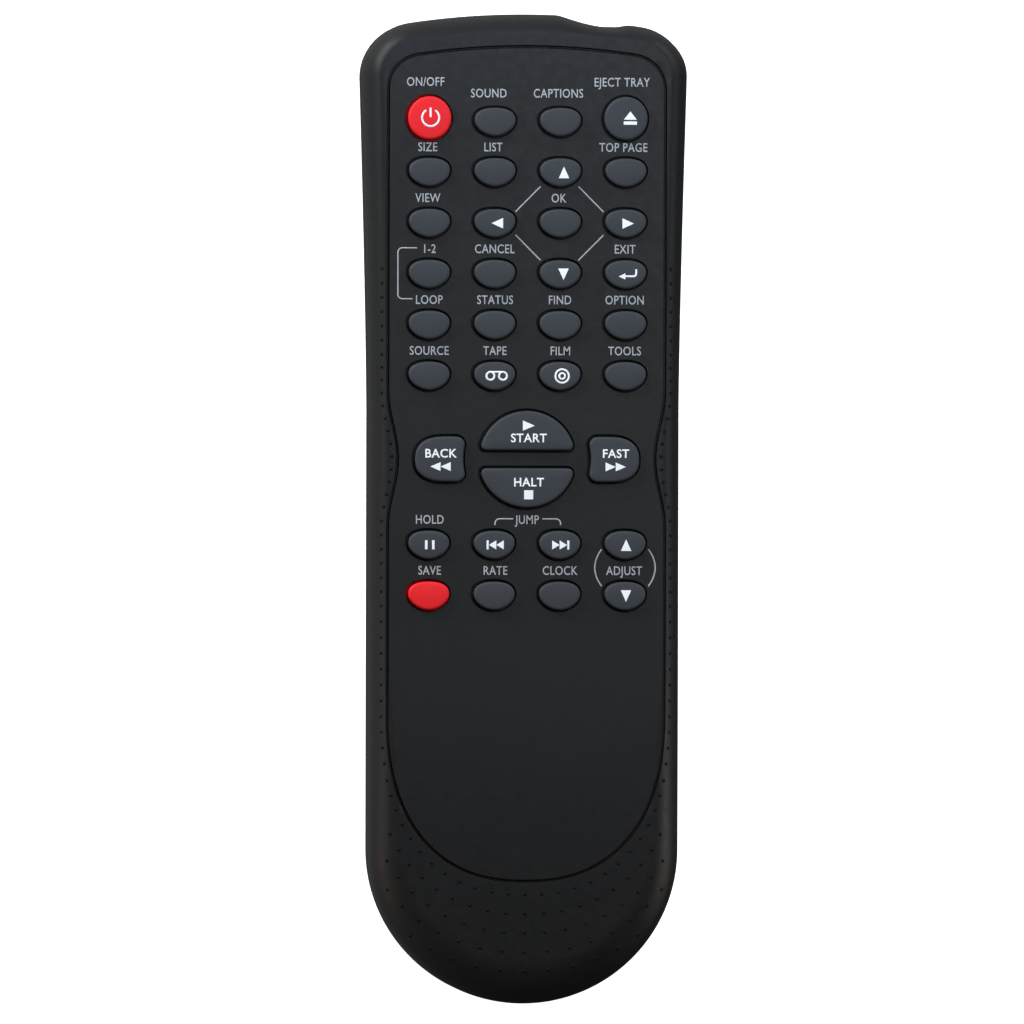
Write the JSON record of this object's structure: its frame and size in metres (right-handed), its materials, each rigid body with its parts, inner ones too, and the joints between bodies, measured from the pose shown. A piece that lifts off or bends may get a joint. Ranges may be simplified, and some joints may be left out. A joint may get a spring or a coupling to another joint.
{
  "type": "remote control handset",
  "caption": "Handset for a disc and tape player: slim case with round tail, egg-shaped keys, split play disc, sending window and a battery door that slides off its back.",
  "frame": {"origin": "middle of the back's footprint, on the surface that the handset lies on", "axes": "+Z out of the key face, +Y to the front end that sends, +X to the right of the keys"},
  "size_m": [0.059, 0.18, 0.0245],
  "materials": {
    "case": "fine satin texture, black",
    "key": "soft matte, slate grey",
    "red_key": "soft matte, red",
    "window": "polished, near black",
    "mat": "matte",
    "board": "phenolic laminate",
    "led": "clear tinted",
    "chip": "moulded epoxy",
    "capacitor": "shrink sleeve",
    "resonator": "dipped ceramic",
    "resistor": "lacquer",
    "contact": "nickel plated steel",
    "cell": "plain printed sleeve"
  },
  "bodies": {
    "case": {"upper_case": "case", "lower_case": "case", "ir_window": "window", "keypad_mat": "mat", "circuit_board": "board", "ir_led": "led", "controller_chip": "chip", "capacitor": "capacitor", "resonator": "resonator", "transistor": "chip", "resistor": "resistor", "battery_left": "cell", "battery_right": "cell", "tail_spring": "contact", "front_spring": "contact", "bridge_contact": "contact", "positive_contact": "contact", "negative_contact": "contact"},
    "battery_door": {"battery_door": "case"},
    "power_key": {"key_power": "red_key"},
    "sound_key": {"key_sound": "key"},
    "caption_key": {"key_caption": "key"},
    "eject_key": {"key_eject": "key"},
    "size_key": {"key_size": "key"},
    "list_key": {"key_list": "key"},
    "up_key": {"key_up": "key"},
    "menu_key": {"key_menu": "key"},
    "view_key": {"key_view": "key"},
    "left_key": {"key_left": "key"},
    "enter_key": {"key_enter": "key"},
    "right_key": {"key_right": "key"},
    "mark_key": {"key_mark": "key"},
    "cancel_key": {"key_cancel": "key"},
    "down_key": {"key_down": "key"},
    "return_key": {"key_return": "key"},
    "loop_key": {"key_loop": "key"},
    "info_key": {"key_info": "key"},
    "find_key": {"key_find": "key"},
    "option_key": {"key_option": "key"},
    "source_key": {"key_source": "key"},
    "tape_key": {"key_tape": "key"},
    "disc_key": {"key_disc": "key"},
    "tools_key": {"key_tools": "key"},
    "play_key": {"key_play": "key"},
    "rewind_key": {"key_rewind": "key"},
    "forward_key": {"key_forward": "key"},
    "stop_key": {"key_stop": "key"},
    "pause_key": {"key_pause": "key"},
    "skip_back_key": {"key_skip_back": "key"},
    "skip_forward_key": {"key_skip_forward": "key"},
    "tracking_up_key": {"key_tracking_up": "key"},
    "record_key": {"key_record": "red_key"},
    "speed_key": {"key_speed": "key"},
    "timer_key": {"key_timer": "key"},
    "tracking_down_key": {"key_tracking_down": "key"}
  },
  "joints": [
    {"name": "battery_door_slide", "type": "slide", "parent": "case", "child": "battery_door", "axis": [0, -1, 0], "range_m": [0, 0.062]},
    {"name": "power_key_press", "type": "slide", "parent": "case", "child": "power_key", "axis": [0, 0, -1], "range_m": [0, 0.001], "stiffness_N_per_m": 400},
    {"name": "sound_key_press", "type": "slide", "parent": "case", "child": "sound_key", "axis": [0, 0, -1], "range_m": [0, 0.001], "stiffness_N_per_m": 400},
    {"name": "caption_key_press", "type": "slide", "parent": "case", "child": "caption_key", "axis": [0, 0, -1], "range_m": [0, 0.001], "stiffness_N_per_m": 400},
    {"name": "eject_key_press", "type": "slide", "parent": "case", "child": "eject_key", "axis": [0, 0, -1], "range_m": [0, 0.001], "stiffness_N_per_m": 400},
    {"name": "size_key_press", "type": "slide", "parent": "case", "child": "size_key", "axis": [0, 0, -1], "range_m": [0, 0.001], "stiffness_N_per_m": 400},
    {"name": "list_key_press", "type": "slide", "parent": "case", "child": "list_key", "axis": [0, 0, -1], "range_m": [0, 0.001], "stiffness_N_per_m": 400},
    {"name": "up_key_press", "type": "slide", "parent": "case", "child": "up_key", "axis": [0, 0, -1], "range_m": [0, 0.001], "stiffness_N_per_m": 400},
    {"name": "menu_key_press", "type": "slide", "parent": "case", "child": "menu_key", "axis": [0, 0, -1], "range_m": [0, 0.001], "stiffness_N_per_m": 400},
    {"name": "view_key_press", "type": "slide", "parent": "case", "child": "view_key", "axis": [0, 0, -1], "range_m": [0, 0.001], "stiffness_N_per_m": 400},
    {"name": "left_key_press", "type": "slide", "parent": "case", "child": "left_key", "axis": [0, 0, -1], "range_m": [0, 0.001], "stiffness_N_per_m": 400},
    {"name": "enter_key_press", "type": "slide", "parent": "case", "child": "enter_key", "axis": [0, 0, -1], "range_m": [0, 0.001], "stiffness_N_per_m": 400},
    {"name": "right_key_press", "type": "slide", "parent": "case", "child": "right_key", "axis": [0, 0, -1], "range_m": [0, 0.001], "stiffness_N_per_m": 400},
    {"name": "mark_key_press", "type": "slide", "parent": "case", "child": "mark_key", "axis": [0, 0, -1], "range_m": [0, 0.001], "stiffness_N_per_m": 400},
    {"name": "cancel_key_press", "type": "slide", "parent": "case", "child": "cancel_key", "axis": [0, 0, -1], "range_m": [0, 0.001], "stiffness_N_per_m": 400},
    {"name": "down_key_press", "type": "slide", "parent": "case", "child": "down_key", "axis": [0, 0, -1], "range_m": [0, 0.001], "stiffness_N_per_m": 400},
    {"name": "return_key_press", "type": "slide", "parent": "case", "child": "return_key", "axis": [0, 0, -1], "range_m": [0, 0.001], "stiffness_N_per_m": 400},
    {"name": "loop_key_press", "type": "slide", "parent": "case", "child": "loop_key", "axis": [0, 0, -1], "range_m": [0, 0.001], "stiffness_N_per_m": 400},
    {"name": "info_key_press", "type": "slide", "parent": "case", "child": "info_key", "axis": [0, 0, -1], "range_m": [0, 0.001], "stiffness_N_per_m": 400},
    {"name": "find_key_press", "type": "slide", "parent": "case", "child": "find_key", "axis": [0, 0, -1], "range_m": [0, 0.001], "stiffness_N_per_m": 400},
    {"name": "option_key_press", "type": "slide", "parent": "case", "child": "option_key", "axis": [0, 0, -1], "range_m": [0, 0.001], "stiffness_N_per_m": 400},
    {"name": "source_key_press", "type": "slide", "parent": "case", "child": "source_key", "axis": [0, 0, -1], "range_m": [0, 0.001], "stiffness_N_per_m": 400},
    {"name": "tape_key_press", "type": "slide", "parent": "case", "child": "tape_key", "axis": [0, 0, -1], "range_m": [0, 0.001], "stiffness_N_per_m": 400},
    {"name": "disc_key_press", "type": "slide", "parent": "case", "child": "disc_key", "axis": [0, 0, -1], "range_m": [0, 0.001], "stiffness_N_per_m": 400},
    {"name": "tools_key_press", "type": "slide", "parent": "case", "child": "tools_key", "axis": [0, 0, -1], "range_m": [0, 0.001], "stiffness_N_per_m": 400},
    {"name": "play_key_press", "type": "slide", "parent": "case", "child": "play_key", "axis": [0, 0, -1], "range_m": [0, 0.001], "stiffness_N_per_m": 400},
    {"name": "rewind_key_press", "type": "slide", "parent": "case", "child": "rewind_key", "axis": [0, 0, -1], "range_m": [0, 0.001], "stiffness_N_per_m": 400},
    {"name": "forward_key_press", "type": "slide", "parent": "case", "child": "forward_key", "axis": [0, 0, -1], "range_m": [0, 0.001], "stiffness_N_per_m": 400},
    {"name": "stop_key_press", "type": "slide", "parent": "case", "child": "stop_key", "axis": [0, 0, -1], "range_m": [0, 0.001], "stiffness_N_per_m": 400},
    {"name": "pause_key_press", "type": "slide", "parent": "case", "child": "pause_key", "axis": [0, 0, -1], "range_m": [0, 0.001], "stiffness_N_per_m": 400},
    {"name": "skip_back_key_press", "type": "slide", "parent": "case", "child": "skip_back_key", "axis": [0, 0, -1], "range_m": [0, 0.001], "stiffness_N_per_m": 400},
    {"name": "skip_forward_key_press", "type": "slide", "parent": "case", "child": "skip_forward_key", "axis": [0, 0, -1], "range_m": [0, 0.001], "stiffness_N_per_m": 400},
    {"name": "tracking_up_key_press", "type": "slide", "parent": "case", "child": "tracking_up_key", "axis": [0, 0, -1], "range_m": [0, 0.001], "stiffness_N_per_m": 400},
    {"name": "record_key_press", "type": "slide", "parent": "case", "child": "record_key", "axis": [0, 0, -1], "range_m": [0, 0.001], "stiffness_N_per_m": 400},
    {"name": "speed_key_press", "type": "slide", "parent": "case", "child": "speed_key", "axis": [0, 0, -1], "range_m": [0, 0.001], "stiffness_N_per_m": 400},
    {"name": "timer_key_press", "type": "slide", "parent": "case", "child": "timer_key", "axis": [0, 0, -1], "range_m": [0, 0.001], "stiffness_N_per_m": 400},
    {"name": "tracking_down_key_press", "type": "slide", "parent": "case", "child": "tracking_down_key", "axis": [0, 0, -1], "range_m": [0, 0.001], "stiffness_N_per_m": 400}
  ]
}
